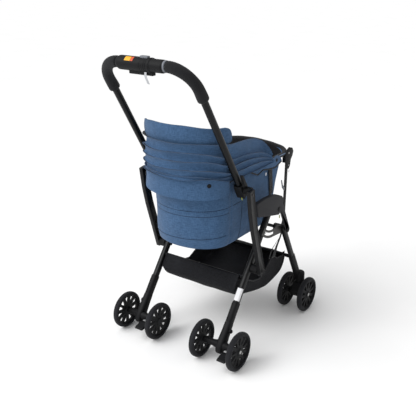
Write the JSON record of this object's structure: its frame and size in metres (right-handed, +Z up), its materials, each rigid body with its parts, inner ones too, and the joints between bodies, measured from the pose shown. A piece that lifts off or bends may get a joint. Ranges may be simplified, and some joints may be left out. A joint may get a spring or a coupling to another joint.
{
  "type": "pet stroller",
  "caption": "Folding pet stroller: fabric cabin with folded hood on a black X-frame, twin wheels, under-basket and a handle that swings to either end.",
  "frame": {"origin": "on the floor, under the centre of the stroller's bounding box", "axes": "+Z up, +Y forward (away from the handle), +X to the stroller's right"},
  "size_m": [0.53, 0.754, 1.066],
  "materials": {
    "denim_fabric": "heathered mid-blue polyester weave",
    "basket_mesh": "black woven mesh",
    "rim_binding": "black webbing binding over foam",
    "inner_board": "dark grey covered board",
    "satin_black_tube": "satin black powder coat on aluminium",
    "black_plastic": "moulded black, fine texture",
    "dark_grey_cover": "moulded dark grey, satin",
    "zinc_steel": "zinc-plated",
    "grip_foam": "matt black EVA foam",
    "wheel_black": "matt black foam tyre on black spoked rim"
  },
  "bodies": {
    "seat": {"cabin_tub": "denim_fabric", "floor_board": "inner_board", "cabin_rim": "rim_binding", "hood_skirt": "denim_fabric", "hood_hinge_r": "black_plastic", "hood_hinge_l": "black_plastic", "side_plate_r": "dark_grey_cover", "side_plate_l": "dark_grey_cover", "guide_plate_r": "zinc_steel", "guide_plate_l": "zinc_steel", "upright_r": "black_plastic", "upright_l": "black_plastic", "rear_pivot_pin_r": "zinc_steel", "rear_pivot_pin_l": "zinc_steel", "front_pivot_rod": "zinc_steel", "basket": "basket_mesh"},
    "canopy_mid": {"hood_mid_band": "denim_fabric", "canopy_bow_mid": "black_plastic"},
    "canopy_front": {"hood_front_band": "denim_fabric", "canopy_bow_front": "black_plastic", "hood_visor": "denim_fabric"},
    "rear_legs": {"rear_leg_r": "satin_black_tube", "rear_leg_l": "satin_black_tube", "rear_housing_r": "black_plastic", "rear_housing_l": "black_plastic", "handle_pivot_r": "black_plastic", "handle_pivot_l": "black_plastic", "rear_crossbar": "satin_black_tube"},
    "front_legs": {"front_leg_r": "satin_black_tube", "front_leg_l": "satin_black_tube", "front_crossbar": "satin_black_tube"},
    "handle": {"handle_tube_r": "satin_black_tube", "handle_tube_l": "satin_black_tube", "grip_r": "grip_foam", "grip_l": "grip_foam", "outer_arm_r": "satin_black_tube", "outer_arm_l": "satin_black_tube", "joint_block_r": "black_plastic", "joint_block_l": "black_plastic", "release_casing": "black_plastic"},
    "release_lever": {"release_lever": "black_plastic"},
    "lock_button": {"lock_button": "black_plastic"},
    "rear_wheels_r": {"rear_axle_r": "zinc_steel", "rear_wheel_r_inner": "wheel_black", "rear_wheel_r_outer": "wheel_black"},
    "caster_r": {"caster_fork_r": "black_plastic"},
    "front_wheels_r": {"front_axle_r": "zinc_steel", "front_wheel_r_inner": "wheel_black", "front_wheel_r_outer": "wheel_black"},
    "brake_r": {"brake_pedal_r": "black_plastic"},
    "latch_r": {"latch_lever_r": "black_plastic"},
    "rear_wheels_l": {"rear_axle_l": "zinc_steel", "rear_wheel_l_inner": "wheel_black", "rear_wheel_l_outer": "wheel_black"},
    "caster_l": {"caster_fork_l": "black_plastic"},
    "front_wheels_l": {"front_axle_l": "zinc_steel", "front_wheel_l_inner": "wheel_black", "front_wheel_l_outer": "wheel_black"},
    "brake_l": {"brake_pedal_l": "black_plastic"},
    "latch_l": {"latch_lever_l": "black_plastic"}
  },
  "joints": [
    {"name": "fold", "type": "hinge", "parent": "seat", "child": "rear_legs", "pos_m": [0, 0.113, 0.488], "axis": [1, 0, 0], "range_deg": [0, 36], "deforming": ["basket"]},
    {"name": "front_leg_fold", "type": "hinge", "parent": "seat", "child": "front_legs", "pos_m": [0, 0.189, 0.383], "axis": [1, 0, 0], "range_deg": [-13, 0]},
    {"name": "handle_swing", "type": "hinge", "parent": "rear_legs", "child": "handle", "pos_m": [0, -0.021, 0.3], "axis": [1, 0, 0], "range_deg": [-61, 0]},
    {"name": "hood_mid", "type": "hinge", "parent": "seat", "child": "canopy_mid", "pos_m": [0, 0.101, 0.65], "axis": [1, 0, 0], "range_deg": [-52, 0]},
    {"name": "hood_front", "type": "hinge", "parent": "canopy_mid", "child": "canopy_front", "pos_m": [0, 0.101, 0.65], "axis": [1, 0, 0], "range_deg": [-52, 0]},
    {"name": "rear_wheels_r_spin", "type": "hinge", "parent": "rear_legs", "child": "rear_wheels_r", "pos_m": [0.177, -0.199, 0.07], "axis": [1, 0, 0], "continuous": true},
    {"name": "caster_r_swivel", "type": "hinge", "parent": "front_legs", "child": "caster_r", "pos_m": [0.21, 0.332, 0.1], "axis": [0, 0, 1], "continuous": true},
    {"name": "front_wheels_r_spin", "type": "hinge", "parent": "caster_r", "child": "front_wheels_r", "pos_m": [0.21, 0.307, 0.07], "axis": [1, 0, 0], "continuous": true},
    {"name": "brake_r_press", "type": "hinge", "parent": "rear_legs", "child": "brake_r", "pos_m": [0.18, -0.219, 0.052], "axis": [1, 0, 0], "range_deg": [0, 20]},
    {"name": "latch_r_press", "type": "hinge", "parent": "handle", "child": "latch_r", "pos_m": [0.2, -0.098, 0.636], "axis": [1, 0, 0], "range_deg": [0, 15], "stiffness_Nm_per_rad": 0.3, "springref_deg": -11.46},
    {"name": "rear_wheels_l_spin", "type": "hinge", "parent": "rear_legs", "child": "rear_wheels_l", "pos_m": [-0.177, -0.199, 0.07], "axis": [1, 0, 0], "continuous": true},
    {"name": "caster_l_swivel", "type": "hinge", "parent": "front_legs", "child": "caster_l", "pos_m": [-0.21, 0.332, 0.1], "axis": [0, 0, 1], "continuous": true},
    {"name": "front_wheels_l_spin", "type": "hinge", "parent": "caster_l", "child": "front_wheels_l", "pos_m": [-0.21, 0.307, 0.07], "axis": [1, 0, 0], "continuous": true},
    {"name": "brake_l_press", "type": "hinge", "parent": "rear_legs", "child": "brake_l", "pos_m": [-0.18, -0.219, 0.052], "axis": [1, 0, 0], "range_deg": [0, 20]},
    {"name": "latch_l_press", "type": "hinge", "parent": "handle", "child": "latch_l", "pos_m": [-0.2, -0.098, 0.636], "axis": [1, 0, 0], "range_deg": [0, 15], "stiffness_Nm_per_rad": 0.3, "springref_deg": -11.46},
    {"name": "release_squeeze", "type": "slide", "parent": "handle", "child": "release_lever", "axis": [0, 0, 1], "range_m": [0, 0.006], "stiffness_N_per_m": 400, "springref_m": -0.003},
    {"name": "lock_slide", "type": "slide", "parent": "handle", "child": "lock_button", "axis": [1, 0, 0], "range_m": [0, 0.01], "stiffness_N_per_m": 150, "springref_m": -0.002}
  ],
  "couplings": [
    {"joint": "front_leg_fold", "follows": "fold", "ratio": -0.36},
    {"joint": "hood_front", "follows": "hood_mid", "ratio": 1}
  ]
}
